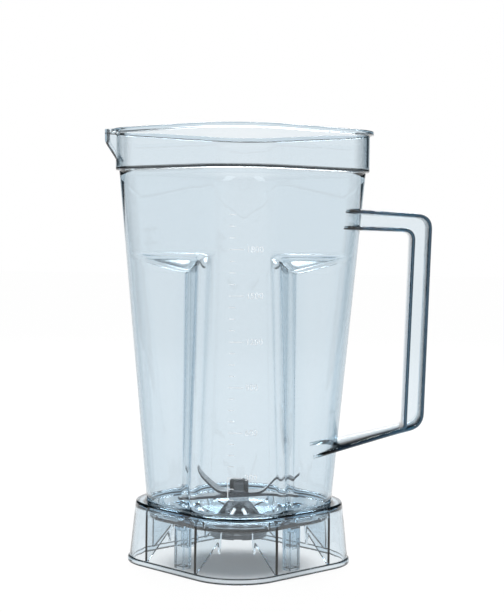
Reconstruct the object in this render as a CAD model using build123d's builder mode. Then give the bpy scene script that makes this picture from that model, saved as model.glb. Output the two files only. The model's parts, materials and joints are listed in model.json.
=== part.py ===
"""Clear blender jar with its blade spindle, in millimetres.

The origin is on the jar axis in the plane the base stands on.
+Z is up, +X points to the handle and -X to the spout.
"""
import math
import os

from build123d import *

os.makedirs("parts", exist_ok=True)

# Jar: a square with round corners that lie on X and Y, given by half its side
JAR_HEIGHT = 270.0
COLLAR_HEIGHT = 25.7
COLLAR_SIDE = 66.5
CORNER = 36.0
WALL = 2.2
COLLAR_WALL = 1.7
LEDGE = 1.6
LIP = 2.4
LIP_HEIGHT = 2.4
BODY_FOOT_SIDE = 51.6
SIDES = 4
SIDE_ANGLE = 45.0
LEDGE_Z = JAR_HEIGHT - COLLAR_HEIGHT
STEP_Z = LEDGE_Z + COLLAR_WALL
COLLAR_POINT = (COLLAR_SIDE - CORNER) * math.sqrt(2) + CORNER

# Skirt that stands on the motor base
SKIRT_HEIGHT = 38.6
SKIRT_WALL = 2.6
FLANGE = 3.0
SKIRT_SIDE = 57.6
SKIRT_FOOT_CORNER = 31.0
SKIRT_TOP_CORNER = 40.0
SKIRT_EDGE = 1.4
BEAD = 1.2
BEAD_HEIGHT = 3.0
BEAD_EDGE = 0.8

# Floor, dished toward the housing
FLOOR_TOP = 23.4
FLOOR = 3.4
FLOOR_EDGE = 2.0
FLOOR_FLAT = 20.0
DISH_RISE = 9.2
DISH_REACH = 37.2
DISH_RISE_INSIDE = DISH_RISE - FLOOR + FLOOR_EDGE
FLOOR_BOTTOM = FLOOR_TOP - FLOOR
BODY_TAPER = math.degrees(math.atan((COLLAR_SIDE - LEDGE - BODY_FOOT_SIDE) / (LEDGE_Z - SKIRT_HEIGHT)))

# Ribs with pointed ends and posts under the floor
RIB = 2.0
RIB_ALONG = 22.5
RIB_TIP = 38.5
RIB_FOOT_Z = 2.5
SPIKE = 2.4
SPIKE_POINT = 1.2
SPIKE_FOOT_Z = 13.0
POST_INSET = 5.5
POST_DEPTH = 6.4
POST_WIDTH = 8.4
POST_ROUND = 1.8
POST_FOOT_Z = 1.5
POST_WALL = 1.6

# Flutes pressed into the middle of each side
FLUTE_FROM_AXIS = 48.1
FLUTE_FLOOR = 8.6
FLUTE_ROUND = 4.0
FLUTE_HALF_ANGLE = 60.0
FLUTE_DROP = 60.3
RAMP_ANGLE = 28.0
FLUTE_TOP_Z = LEDGE_Z - FLUTE_DROP
FLUTE_REACH = COLLAR_SIDE + LIP

# Handle: an open loop of I-section in the XZ plane
HANDLE_REACH = 114.3
HANDLE_LEAN = 3.7
HANDLE_DROP = 25.1
HANDLE_FALL = 4.3
HANDLE_LIFT = 48.6
HANDLE_SLOPE = 18.5
HANDLE_ROOT_X = 46.0
GRIP_DEPTH = 13.2
GRIP_RISE = 11.4
GRIP_FALL = 1.5
STRIP = 3.0
STRIP_HALF_WIDTH = 15.0
ROOT_HALF_WIDTH = 29.0
FLARE = 50.0
WEB = 3.0
HANDLE_OUTER_ROUND = 9.0
HANDLE_INNER_ROUND = 5.0
HANDLE_LOW_ROUND = 2.0
HANDLE_TOP_X = HANDLE_REACH + HANDLE_LEAN
HANDLE_TOP_Z = LEDGE_Z - HANDLE_DROP
HANDLE_LOW_Z = SKIRT_HEIGHT + HANDLE_LIFT
GRIP_TOP_Z = HANDLE_TOP_Z - GRIP_RISE

# Spout on the rim
SPOUT_REACH = 6.9
SPOUT_ROOT = 5.1
SPOUT_KEEL = 0.6
SPOUT_TIP_HALF = 3.5
SPOUT_ROOT_HALF = 15.0
SPOUT_LIP = 8.0
SPOUT_DROP = 18.5
SPOUT_WALL = 2.4

# Clearances
SLIDE = 0.02
RUN = 0.05
FREE = 0.4
BALL_PLAY = 0.03

# Bearing housing: dome, flange and threaded stem
GASKET = 1.0
STEM_RADIUS = 12.0
STEM_BELOW = 4.4
HOUSING_FLANGE_RADIUS = 15.5
HOUSING_FLANGE = 1.6
DOME_FOOT_RADIUS = 14.2
DOME_MID_RADIUS = 10.7
DOME_MID = 10.3
DOME_TOP_RADIUS = 6.6
DOME = 14.8
WASHER = 0.8
WASHER_RADIUS = 17.5
NUT_RADIUS = 18.3
NUT_HEIGHT = 3.0
NUT_NOTCH = 5.0
NUT_NOTCH_DEPTH = 2.0
NUT_NOTCHES = 4
STEM_FOOT_Z = FLOOR_BOTTOM - STEM_BELOW
DOME_MID_Z = FLOOR_TOP + DOME_MID
DOME_TOP_Z = FLOOR_TOP + DOME

# Bearings, seal and retaining ring
BEARING_RADIUS = 8.0
BEARING_WIDTH = 5.0
RACE_INNER = 5.2
RACE_OUTER = 6.8
BALL_RADIUS = 1.2
BALLS = 8
CAGE_HALF = 0.45
CAGE_WIDTH = 1.2
BEARING_LIFT = 1.2
BEARING_GAP = 1.4
SEAL_RADIUS = 7.4
SEAL_HEIGHT = 3.0
SEAL_LIP = 1.0
RING_WIDTH = 0.9
RING_BITE = 0.5
RING_GAP_ANGLE = 40.0
BEARING_LOW_Z = FLOOR_BOTTOM + BEARING_LIFT

# Spindle
SHAFT_RADIUS = 4.0
SHAFT_FLATS = 6.4
THREAD_RADIUS = 3.0
HEAD_RADIUS = 7.0
HEAD_INSET = 0.2
HEAD_BOSS = 0.4
SOCKET_SIDE = 7.0
SOCKET_DEPTH = 4.2
SOCKET_TURN = 45.0
SLEEVE_RADIUS = 5.0
COLLAR_RADIUS = 6.3
BLADE_COLLAR = 2.8
BLADE = 1.6
LOCK_WASHER = 0.8
LOCK_WASHER_RADIUS = 6.0
HEX_ACROSS = 10.4
HEX_SIDES = 6
HEX_HEIGHT = 6.2
HEX_CHAMFER = 0.8
THREAD_COVER = 1.4
HEAD_FOOT_Z = STEM_FOOT_Z + HEAD_INSET
BLADE_Z = DOME_TOP_Z + FREE + BLADE_COLLAR

# Blades: arms that taper from the hub to the tip
BLADE_FLAT = 8.5
BLADE_HUB_HALF = 7.0
BLADE_TIP_HALF = 2.2
BLADE_WAIST = 9.0
BLADE_SWEEP = 2.5
LOW_TURN = 20.0
LOW_BEND = 23.4
LOW_FLAT_DROOP = 0.2
LOW_FLAT_TIP_DROOP = 0.6
LOW_DROOP = 1.1
LOW_TIP = 38.9
LOW_TIP_DROOP = 3.4
LOW_TIP_SLOPE = -0.1
HIGH_TURN = -8.0
HIGH_BEND = 17.0
HIGH_BEND_RISE = 2.2
HIGH_CREST = 26.8
HIGH_CREST_RISE = 9.8
HIGH_DIP = 31.3
HIGH_DIP_RISE = 8.5
HIGH_TIP = 36.8
HIGH_TIP_RISE = 12.0
HIGH_TIP_SLOPE = 0.7
STEEP_BEND_RISE = 3.6
STEEP_TIP = 28.4
STEEP_TIP_RISE = 15.0
STEEP_TIP_SLOPE = 1.3


def outline(side, corner, height):
    """Round-cornered square with its corners on X and Y."""
    with BuildSketch(Plane.XY.offset(height)) as section:
        RectangleRounded(2 * side, 2 * side, corner, rotation=SIDE_ANGLE)
    return section.sketch.face()


def body_side(height):
    """Half the side of the tapering body at a height."""
    return BODY_FOOT_SIDE + (height - SKIRT_HEIGHT) * math.tan(math.radians(BODY_TAPER))


def tapered(inset, low, high):
    """Tapering body between two heights, drawn in by an inset."""
    with BuildPart() as piece:
        with BuildSketch(Plane.XY.offset(low)):
            Rectangle(2 * (body_side(low) - inset), 2 * (body_side(low) - inset), rotation=SIDE_ANGLE)
        extrude(amount=high - low, taper=-BODY_TAPER)
        upright = piece.edges().filter_by(lambda edge: edge.bounding_box().size.Z > (high - low) / 2)
        fillet(upright, CORNER - inset)
    return piece.part


def dish(inset, low, rise, high):
    """Everything above a shallow cone whose flat is the floor."""
    with BuildPart() as piece:
        with BuildSketch(Plane.XZ):
            with BuildLine():
                Polyline(
                    (0, low),
                    (FLOOR_FLAT - inset, low),
                    (FLOOR_FLAT + DISH_REACH, low + rise),
                    (FLOOR_FLAT + DISH_REACH + CORNER, low + rise),
                    (FLOOR_FLAT + DISH_REACH + CORNER, high),
                    (0, high),
                    close=True,
                )
            make_face()
        revolve(axis=Axis.Z)
    return piece.part


def ring(inner, outer, low, high):
    """Plain round ring about the jar axis."""
    with BuildPart() as piece:
        with BuildSketch(Plane.XY.offset(low)):
            Circle(outer)
            Circle(inner, mode=Mode.SUBTRACT)
        extrude(amount=high - low)
    return piece.part


def flute(from_axis, floor_half, corner, foot, top):
    """Groove that opens along +X, with a sloping upper end."""
    reach = FLUTE_REACH - from_axis
    mouth = floor_half + reach * math.tan(math.radians(FLUTE_HALF_ANGLE))
    rise = reach * math.tan(math.radians(RAMP_ANGLE))
    with BuildPart() as groove:
        with BuildSketch(Plane.XY.offset(foot)) as plan:
            with BuildLine():
                Polyline(
                    (from_axis, -floor_half),
                    (from_axis, floor_half),
                    (FLUTE_REACH, mouth),
                    (FLUTE_REACH, -mouth),
                    close=True,
                )
            make_face()
            fillet(plan.vertices().group_by(Axis.X)[0], corner)
        extrude(amount=top + rise - foot)
        with BuildSketch(Plane.XZ):
            with BuildLine():
                Polyline(
                    (from_axis, foot),
                    (from_axis, top),
                    (FLUTE_REACH, top + rise),
                    (FLUTE_REACH, foot),
                    close=True,
                )
            make_face()
        extrude(amount=mouth, both=True, mode=Mode.INTERSECT)
    return groove.part


def spout(inset):
    """Pointed pouring lip, drawn in by an inset on every side."""
    tip = inset - COLLAR_POINT - SPOUT_REACH
    keel = inset - COLLAR_POINT + SPOUT_KEEL
    root = inset - COLLAR_POINT + SPOUT_ROOT
    low = JAR_HEIGHT - SPOUT_DROP + inset
    with BuildPart() as beak:
        with BuildSketch(Plane.XZ):
            with BuildLine():
                Polyline(
                    (root, low),
                    (keel, low),
                    (tip, JAR_HEIGHT - SPOUT_LIP + inset / 2),
                    (tip, JAR_HEIGHT),
                    (root, JAR_HEIGHT),
                    close=True,
                )
            make_face()
        extrude(amount=SPOUT_ROOT_HALF, both=True)
        with BuildSketch(Plane.XY.offset(low)):
            with BuildLine():
                Polyline(
                    (root, inset - SPOUT_ROOT_HALF),
                    (root, SPOUT_ROOT_HALF - inset),
                    (tip, SPOUT_TIP_HALF - inset / 2),
                    (tip, inset / 2 - SPOUT_TIP_HALF),
                    close=True,
                )
            make_face()
        extrude(amount=JAR_HEIGHT - low, mode=Mode.INTERSECT)
    return beak.part


# Skirt with its flange and foot bead
with BuildPart() as skirt:
    loft(
        [
            outline(SKIRT_SIDE, SKIRT_FOOT_CORNER, 0),
            outline(SKIRT_SIDE, SKIRT_TOP_CORNER, SKIRT_HEIGHT),
        ],
        ruled=True,
    )
    chamfer(skirt.edges().group_by(Axis.Z)[-1], SKIRT_EDGE)

with BuildPart() as bead:
    extrude(outline(SKIRT_SIDE + BEAD, SKIRT_FOOT_CORNER + BEAD, 0), amount=BEAD_HEIGHT)
    chamfer(bead.edges().group_by(Axis.Z)[-1], BEAD_EDGE)

with BuildPart() as skirt_space:
    loft(
        [
            outline(SKIRT_SIDE - SKIRT_WALL, SKIRT_FOOT_CORNER - SKIRT_WALL, 0),
            outline(SKIRT_SIDE - SKIRT_WALL, SKIRT_TOP_CORNER - SKIRT_WALL, SKIRT_HEIGHT - FLANGE),
        ],
        ruled=True,
    )

# Ribs and post of one side, which faces +X here
with BuildPart() as side_supports:
    for along in (-RIB_ALONG, RIB_ALONG):
        with BuildSketch(Plane.XZ.offset(-along)):
            with BuildLine():
                Polyline(
                    (RIB_TIP - SPIKE, FLOOR_TOP),
                    (RIB_TIP - SPIKE_POINT, SPIKE_FOOT_Z),
                    (RIB_TIP, FLOOR_BOTTOM),
                    (SKIRT_SIDE - SKIRT_WALL / 2, RIB_FOOT_Z),
                    (SKIRT_SIDE - SKIRT_WALL / 2, SKIRT_HEIGHT - FLANGE / 2),
                    (RIB_TIP - SPIKE, SKIRT_HEIGHT - FLANGE / 2),
                    close=True,
                )
            make_face()
        extrude(amount=RIB / 2, both=True)
    with BuildSketch(Plane.XY.offset(POST_FOOT_Z)):
        with Locations((BODY_FOOT_SIDE - POST_INSET, 0)):
            RectangleRounded(POST_DEPTH, POST_WIDTH, POST_ROUND)
    extrude(amount=SKIRT_HEIGHT - FLANGE / 2 - POST_FOOT_Z)

with BuildPart() as post_socket:
    with BuildSketch(Plane.XY.offset(POST_FOOT_Z)):
        with Locations((BODY_FOOT_SIDE - POST_INSET, 0)):
            Rectangle(POST_DEPTH - 2 * POST_WALL, POST_WIDTH - 2 * POST_WALL)
    extrude(amount=SKIRT_HEIGHT - FLANGE - POST_WALL - POST_FOOT_Z)

# Handle strips that flare toward the wall, with a web between them
with BuildPart() as handle:
    with BuildSketch(Plane.XZ) as loop:
        with BuildLine():
            Polyline(
                (HANDLE_ROOT_X, HANDLE_TOP_Z + HANDLE_FALL),
                (HANDLE_TOP_X, HANDLE_TOP_Z),
                (HANDLE_REACH, HANDLE_LOW_Z),
                (HANDLE_ROOT_X, HANDLE_LOW_Z - HANDLE_SLOPE),
                (HANDLE_ROOT_X, HANDLE_LOW_Z - HANDLE_SLOPE + STRIP),
                (HANDLE_REACH - GRIP_DEPTH, HANDLE_LOW_Z),
                (HANDLE_TOP_X - GRIP_DEPTH, GRIP_TOP_Z),
                (HANDLE_ROOT_X, GRIP_TOP_Z + GRIP_FALL),
                close=True,
            )
        make_face()
        for corner, radius in (
            ((HANDLE_TOP_X, HANDLE_TOP_Z), HANDLE_OUTER_ROUND),
            ((HANDLE_REACH, HANDLE_LOW_Z), HANDLE_OUTER_ROUND),
            ((HANDLE_TOP_X - GRIP_DEPTH, GRIP_TOP_Z), HANDLE_INNER_ROUND),
            ((HANDLE_REACH - GRIP_DEPTH, HANDLE_LOW_Z), HANDLE_LOW_ROUND),
        ):
            fillet(loop.vertices().sort_by_distance(corner)[0], radius)
    extrude(amount=ROOT_HALF_WIDTH, both=True)
    with BuildSketch(Plane.XY):
        with BuildLine():
            Polyline(
                (HANDLE_ROOT_X, ROOT_HALF_WIDTH),
                (HANDLE_ROOT_X + FLARE, STRIP_HALF_WIDTH),
                (HANDLE_TOP_X, STRIP_HALF_WIDTH),
                (HANDLE_TOP_X, -STRIP_HALF_WIDTH),
                (HANDLE_ROOT_X + FLARE, -STRIP_HALF_WIDTH),
                (HANDLE_ROOT_X, -ROOT_HALF_WIDTH),
                close=True,
            )
        make_face()
    extrude(amount=JAR_HEIGHT, mode=Mode.INTERSECT)
    with BuildSketch(Plane.XZ) as panel:
        add(offset(loop.sketch_local, amount=-STRIP, mode=Mode.PRIVATE))
    extrude(amount=ROOT_HALF_WIDTH, both=True, mode=Mode.SUBTRACT)
    extrude(panel.sketch, amount=WEB / 2, both=True)

# Space inside the jar, with the four ridges that back the flutes
with BuildPart() as cavity:
    add(tapered(WALL, FLOOR_TOP, STEP_Z))
    add(dish(WALL, FLOOR_TOP, DISH_RISE_INSIDE, STEP_Z), mode=Mode.INTERSECT)
    extrude(outline(COLLAR_SIDE - COLLAR_WALL, CORNER - COLLAR_WALL, STEP_Z), amount=JAR_HEIGHT - STEP_Z)
    ridge = flute(
        FLUTE_FROM_AXIS - WALL,
        FLUTE_FLOOR / 2 + WALL * math.tan(math.radians((90 - FLUTE_HALF_ANGLE) / 2)),
        FLUTE_ROUND + WALL,
        FLOOR_BOTTOM,
        FLUTE_TOP_Z + WALL * math.tan(math.radians((90 - RAMP_ANGLE) / 2)),
    )
    with PolarLocations(0, SIDES, start_angle=SIDE_ANGLE):
        add(ridge, mode=Mode.SUBTRACT)

# Jar moulding: wall, collar, lip, spout, handle, flange, skirt, ribs and floor in one
with BuildPart() as shell:
    add(tapered(0, FLOOR_BOTTOM, LEDGE_Z))
    add(dish(0, FLOOR_BOTTOM, DISH_RISE, LEDGE_Z), mode=Mode.INTERSECT)

with BuildPart() as jar_body:
    add(skirt.part)
    add(bead.part)
    add(skirt_space.part, mode=Mode.SUBTRACT)
    add(shell.part)
    extrude(outline(COLLAR_SIDE, CORNER, LEDGE_Z), amount=COLLAR_HEIGHT)
    extrude(outline(COLLAR_SIDE + LIP, CORNER + LIP, JAR_HEIGHT - LIP_HEIGHT), amount=LIP_HEIGHT)
    with PolarLocations(0, SIDES, start_angle=SIDE_ANGLE):
        add(side_supports.part)
    add(handle.part)
    add(spout(0))
    groove = flute(FLUTE_FROM_AXIS, FLUTE_FLOOR / 2, FLUTE_ROUND, SKIRT_HEIGHT, FLUTE_TOP_Z)
    with PolarLocations(0, SIDES, start_angle=SIDE_ANGLE):
        add(groove, mode=Mode.SUBTRACT)
        add(post_socket.part, mode=Mode.SUBTRACT)
    add(cavity.part, mode=Mode.SUBTRACT)
    add(spout(SPOUT_WALL), mode=Mode.SUBTRACT)
    with Locations((0, 0, FLOOR_BOTTOM)):
        Cylinder(
            STEM_RADIUS + FREE,
            FLOOR,
            align=(Align.CENTER, Align.CENTER, Align.MIN),
            mode=Mode.SUBTRACT,
        )
jar_body.part.label = "jar_body"
export_step(jar_body.part, "parts/jar_body.step")

# Heights that follow from the stack on the floor
GASKET_TOP = FLOOR_TOP + GASKET
DOME_FOOT_Z = GASKET_TOP + HOUSING_FLANGE
WASHER_FOOT_Z = FLOOR_BOTTOM - WASHER
BEARING_LOW_TOP = BEARING_LOW_Z + BEARING_WIDTH
BEARING_HIGH_Z = BEARING_LOW_TOP + BEARING_GAP
BEARING_TOP = BEARING_HIGH_Z + BEARING_WIDTH
PITCH = (RACE_INNER + RACE_OUTER) / 2
SEAL_TOP = BEARING_TOP + SEAL_HEIGHT
LOW_BLADE_TOP = BLADE_Z + BLADE
HIGH_BLADE_TOP = LOW_BLADE_TOP + BLADE
LOCK_TOP = HIGH_BLADE_TOP + LOCK_WASHER
HEX_TOP = LOCK_TOP + HEX_HEIGHT
HEAD_TOP = BEARING_LOW_Z - HEAD_BOSS
SLEEVE_BORE = SLEEVE_RADIUS + FREE

# Gasket between the floor and the housing flange
with BuildPart() as housing_gasket:
    add(ring(STEM_RADIUS + RUN, HOUSING_FLANGE_RADIUS, FLOOR_TOP, GASKET_TOP))
housing_gasket.part.label = "housing_gasket"
export_step(housing_gasket.part, "parts/housing_gasket.step")

# Steel housing: dome above the floor, threaded stem through it
with BuildPart() as bearing_housing:
    with BuildSketch(Plane.XZ):
        with BuildLine():
            Polyline(
                (SLEEVE_BORE, DOME_TOP_Z),
                (SLEEVE_BORE, SEAL_TOP),
                (SEAL_RADIUS, SEAL_TOP),
                (SEAL_RADIUS, BEARING_TOP),
                (BEARING_RADIUS, BEARING_TOP),
                (BEARING_RADIUS, BEARING_LOW_Z),
                (BEARING_RADIUS + RING_BITE, BEARING_LOW_Z),
                (BEARING_RADIUS + RING_BITE, BEARING_LOW_Z - RING_WIDTH),
                (BEARING_RADIUS, BEARING_LOW_Z - RING_WIDTH),
                (BEARING_RADIUS, STEM_FOOT_Z),
                (STEM_RADIUS, STEM_FOOT_Z),
                (STEM_RADIUS, GASKET_TOP),
                (HOUSING_FLANGE_RADIUS, GASKET_TOP),
                (HOUSING_FLANGE_RADIUS, DOME_FOOT_Z),
                (DOME_FOOT_RADIUS, DOME_FOOT_Z),
            )
            ThreePointArc(
                (DOME_FOOT_RADIUS, DOME_FOOT_Z),
                (DOME_MID_RADIUS, DOME_MID_Z),
                (DOME_TOP_RADIUS, DOME_TOP_Z),
            )
            Line((DOME_TOP_RADIUS, DOME_TOP_Z), (SLEEVE_BORE, DOME_TOP_Z))
        make_face()
    revolve(axis=Axis.Z)
bearing_housing.part.label = "bearing_housing"
export_step(bearing_housing.part, "parts/bearing_housing.step")

# Washer and ring nut that clamp the housing from below
with BuildPart() as clamp_washer:
    add(ring(STEM_RADIUS + RUN, WASHER_RADIUS, WASHER_FOOT_Z, FLOOR_BOTTOM))
clamp_washer.part.label = "clamp_washer"
export_step(clamp_washer.part, "parts/clamp_washer.step")

with BuildPart() as retaining_nut:
    add(ring(STEM_RADIUS + RUN, NUT_RADIUS, WASHER_FOOT_Z - NUT_HEIGHT, WASHER_FOOT_Z))
    with BuildSketch(Plane.XY.offset(WASHER_FOOT_Z - NUT_HEIGHT)):
        with PolarLocations(NUT_RADIUS, NUT_NOTCHES):
            Rectangle(2 * NUT_NOTCH_DEPTH, NUT_NOTCH)
    extrude(amount=NUT_HEIGHT, mode=Mode.SUBTRACT)
retaining_nut.part.label = "retaining_nut"
export_step(retaining_nut.part, "parts/retaining_nut.step")


def race(inner, outer, low):
    """Bearing ring with the groove its balls run in."""
    with BuildPart() as piece:
        add(ring(inner, outer, low, low + BEARING_WIDTH))
        with Locations((0, 0, low + BEARING_WIDTH / 2)):
            Torus(PITCH, BALL_RADIUS + BALL_PLAY, mode=Mode.SUBTRACT)
    return piece.part


def ball_set(low):
    """Balls held by their cage."""
    with BuildPart() as piece:
        middle = low + BEARING_WIDTH / 2
        add(ring(PITCH - CAGE_HALF, PITCH + CAGE_HALF, middle - CAGE_WIDTH / 2, middle + CAGE_WIDTH / 2))
        with Locations((0, 0, middle)):
            with PolarLocations(PITCH, BALLS):
                Sphere(BALL_RADIUS)
    return piece.part


# Two ball bearings with spacers between them
with BuildPart() as lower_bearing_outer:
    add(race(RACE_OUTER, BEARING_RADIUS - SLIDE, BEARING_LOW_Z))
lower_bearing_outer.part.label = "lower_bearing_outer"
export_step(lower_bearing_outer.part, "parts/lower_bearing_outer.step")

with BuildPart() as lower_bearing_inner:
    add(race(SHAFT_RADIUS + SLIDE, RACE_INNER, BEARING_LOW_Z))
lower_bearing_inner.part.label = "lower_bearing_inner"
export_step(lower_bearing_inner.part, "parts/lower_bearing_inner.step")

with BuildPart() as lower_ball_set:
    add(ball_set(BEARING_LOW_Z))
lower_ball_set.part.label = "lower_ball_set"
export_step(lower_ball_set.part, "parts/lower_ball_set.step")

with BuildPart() as upper_bearing_outer:
    add(race(RACE_OUTER, BEARING_RADIUS - SLIDE, BEARING_HIGH_Z))
upper_bearing_outer.part.label = "upper_bearing_outer"
export_step(upper_bearing_outer.part, "parts/upper_bearing_outer.step")

with BuildPart() as upper_bearing_inner:
    add(race(SHAFT_RADIUS + SLIDE, RACE_INNER, BEARING_HIGH_Z))
upper_bearing_inner.part.label = "upper_bearing_inner"
export_step(upper_bearing_inner.part, "parts/upper_bearing_inner.step")

with BuildPart() as upper_ball_set:
    add(ball_set(BEARING_HIGH_Z))
upper_ball_set.part.label = "upper_ball_set"
export_step(upper_ball_set.part, "parts/upper_ball_set.step")

with BuildPart() as outer_spacer:
    add(ring(RACE_OUTER, BEARING_RADIUS - SLIDE, BEARING_LOW_TOP, BEARING_HIGH_Z))
outer_spacer.part.label = "outer_spacer"
export_step(outer_spacer.part, "parts/outer_spacer.step")

with BuildPart() as inner_spacer:
    add(ring(SHAFT_RADIUS + SLIDE, RACE_INNER, BEARING_LOW_TOP, BEARING_HIGH_Z))
inner_spacer.part.label = "inner_spacer"
export_step(inner_spacer.part, "parts/inner_spacer.step")

# Open spring ring that holds the bearings in the stem
with BuildPart() as retaining_ring:
    with BuildSketch(Plane.XY.offset(BEARING_LOW_Z - RING_WIDTH)):
        Circle(BEARING_RADIUS + RING_BITE - SLIDE)
        Circle(HEAD_RADIUS + FREE, mode=Mode.SUBTRACT)
        with BuildLine():
            first = PolarLine((0, 0), 2 * BEARING_RADIUS, -RING_GAP_ANGLE / 2)
            second = PolarLine((0, 0), 2 * BEARING_RADIUS, RING_GAP_ANGLE / 2)
            Line(first @ 1, second @ 1)
        make_face(mode=Mode.SUBTRACT)
    extrude(amount=RING_WIDTH)
retaining_ring.part.label = "retaining_ring"
export_step(retaining_ring.part, "parts/retaining_ring.step")

# Lip seal around the sleeve
with BuildPart() as shaft_seal:
    with BuildSketch(Plane.XZ):
        with BuildLine():
            Polyline(
                (SLEEVE_RADIUS + RUN, SEAL_TOP),
                (SEAL_RADIUS - SLIDE, SEAL_TOP),
                (SEAL_RADIUS - SLIDE, BEARING_TOP),
                (SEAL_RADIUS - SEAL_LIP, BEARING_TOP),
                (SEAL_RADIUS - SEAL_LIP, SEAL_TOP - SEAL_LIP),
                (SLEEVE_RADIUS + RUN, SEAL_TOP - SEAL_LIP),
                close=True,
            )
        make_face()
    revolve(axis=Axis.Z)
shaft_seal.part.label = "shaft_seal"
export_step(shaft_seal.part, "parts/shaft_seal.step")

# Shaft with a star socket in its head, flats for the blades and a thread
with BuildPart() as drive_shaft:
    with BuildSketch(Plane.XZ):
        with BuildLine():
            Polyline(
                (0, HEAD_FOOT_Z),
                (HEAD_RADIUS, HEAD_FOOT_Z),
                (HEAD_RADIUS, HEAD_TOP),
                (RACE_INNER, HEAD_TOP),
                (RACE_INNER, BEARING_LOW_Z),
                (SHAFT_RADIUS, BEARING_LOW_Z),
                (SHAFT_RADIUS, HIGH_BLADE_TOP),
                (THREAD_RADIUS, HIGH_BLADE_TOP),
                (THREAD_RADIUS, HEX_TOP - THREAD_COVER),
                (0, HEX_TOP - THREAD_COVER),
                close=True,
            )
        make_face()
    revolve(axis=Axis.Z)
    with BuildSketch(Plane.XY.offset(HEAD_FOOT_Z)):
        Rectangle(SOCKET_SIDE, SOCKET_SIDE)
        Rectangle(SOCKET_SIDE, SOCKET_SIDE, rotation=SOCKET_TURN)
    extrude(amount=SOCKET_DEPTH, mode=Mode.SUBTRACT)
    with BuildSketch(Plane.XY.offset(BLADE_Z)):
        Circle(SHAFT_RADIUS)
        Rectangle(2 * SHAFT_RADIUS, SHAFT_FLATS, mode=Mode.SUBTRACT)
    extrude(amount=2 * BLADE, mode=Mode.SUBTRACT)
drive_shaft.part.label = "drive_shaft"
export_step(drive_shaft.part, "parts/drive_shaft.step")

# Sleeve through the seal with the collar that carries the blades
with BuildPart() as shaft_sleeve:
    add(ring(SHAFT_RADIUS + SLIDE, SLEEVE_RADIUS, BEARING_TOP, BLADE_Z))
    add(ring(SHAFT_RADIUS + SLIDE, COLLAR_RADIUS, DOME_TOP_Z + FREE, BLADE_Z))
shaft_sleeve.part.label = "shaft_sleeve"
export_step(shaft_sleeve.part, "parts/shaft_sleeve.step")


def arm_plan(tip):
    """Outline of a two-armed blade seen from above."""
    with BuildSketch() as plan:
        with BuildLine():
            Polyline(
                (-tip, -BLADE_SWEEP - BLADE_TIP_HALF),
                (-BLADE_WAIST, -BLADE_HUB_HALF),
                (BLADE_WAIST, -BLADE_HUB_HALF),
                (tip, BLADE_SWEEP - BLADE_TIP_HALF),
                (tip, BLADE_SWEEP + BLADE_TIP_HALF),
                (BLADE_WAIST, BLADE_HUB_HALF),
                (-BLADE_WAIST, BLADE_HUB_HALF),
                (-tip, BLADE_TIP_HALF - BLADE_SWEEP),
                close=True,
            )
        make_face()
    return plan.sketch


def arm_side(low, bends, slope):
    """Side view of one bent arm; each bend is a reach and a rise, slope is that of the tip."""
    path = [(BLADE_FLAT, low)] + [(reach, low + rise) for reach, rise in bends]
    with BuildSketch(Plane.XZ) as side:
        with BuildLine():
            hub = Polyline((BLADE_FLAT, low), (0, low), (0, low + BLADE), (BLADE_FLAT, low + BLADE))
            under = Spline(path, tangents=[(1, 0), (1, slope)])
            over = Spline([(x, z + BLADE) for x, z in path], tangents=[(1, 0), (1, slope)])
            Line(under @ 1, over @ 1)
        make_face()
    return side.sketch


def blade(tip, right, left, low, turn):
    """Bent strip cut to the plan of a blade, with a hole for the shaft flats."""
    with BuildPart() as piece:
        extrude(right, amount=2 * BLADE_HUB_HALF, both=True)
        extrude(mirror(left, about=Plane.YZ, mode=Mode.PRIVATE), amount=2 * BLADE_HUB_HALF, both=True)
        extrude(arm_plan(tip), amount=JAR_HEIGHT, mode=Mode.INTERSECT)
        with BuildSketch(Plane.XY.offset(low)):
            Circle(SHAFT_RADIUS + SLIDE)
            Rectangle(2 * BEARING_RADIUS, SHAFT_FLATS + 2 * SLIDE, rotation=-turn, mode=Mode.INTERSECT)
        extrude(amount=BLADE, mode=Mode.SUBTRACT)
    return piece.part


# Lower blade with one flat and one drooping arm
with BuildPart() as lower_blade:
    drooping = arm_side(BLADE_Z, [(LOW_BEND, -LOW_DROOP), (LOW_TIP, -LOW_TIP_DROOP)], LOW_TIP_SLOPE)
    flat = arm_side(BLADE_Z, [(LOW_BEND, -LOW_FLAT_DROOP), (LOW_TIP, -LOW_FLAT_TIP_DROOP)], 0)
    add(blade(LOW_TIP, drooping, flat, BLADE_Z, LOW_TURN), rotation=(0, 0, LOW_TURN))
lower_blade.part.label = "lower_blade"
export_step(lower_blade.part, "parts/lower_blade.step")

# Upper blade with one waved and one steep arm
with BuildPart() as upper_blade:
    waved = arm_side(
        LOW_BLADE_TOP,
        [
            (HIGH_BEND, HIGH_BEND_RISE),
            (HIGH_CREST, HIGH_CREST_RISE),
            (HIGH_DIP, HIGH_DIP_RISE),
            (HIGH_TIP, HIGH_TIP_RISE),
        ],
        HIGH_TIP_SLOPE,
    )
    steep = arm_side(
        LOW_BLADE_TOP,
        [(HIGH_BEND, STEEP_BEND_RISE), (STEEP_TIP, STEEP_TIP_RISE)],
        STEEP_TIP_SLOPE,
    )
    add(blade(HIGH_TIP, waved, steep, LOW_BLADE_TOP, HIGH_TURN), rotation=(0, 0, HIGH_TURN))
upper_blade.part.label = "upper_blade"
export_step(upper_blade.part, "parts/upper_blade.step")

# Washer and closed hexagon nut on top of the blades
with BuildPart() as lock_washer:
    add(ring(THREAD_RADIUS + RUN, LOCK_WASHER_RADIUS, HIGH_BLADE_TOP, LOCK_TOP))
lock_washer.part.label = "lock_washer"
export_step(lock_washer.part, "parts/lock_washer.step")

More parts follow.
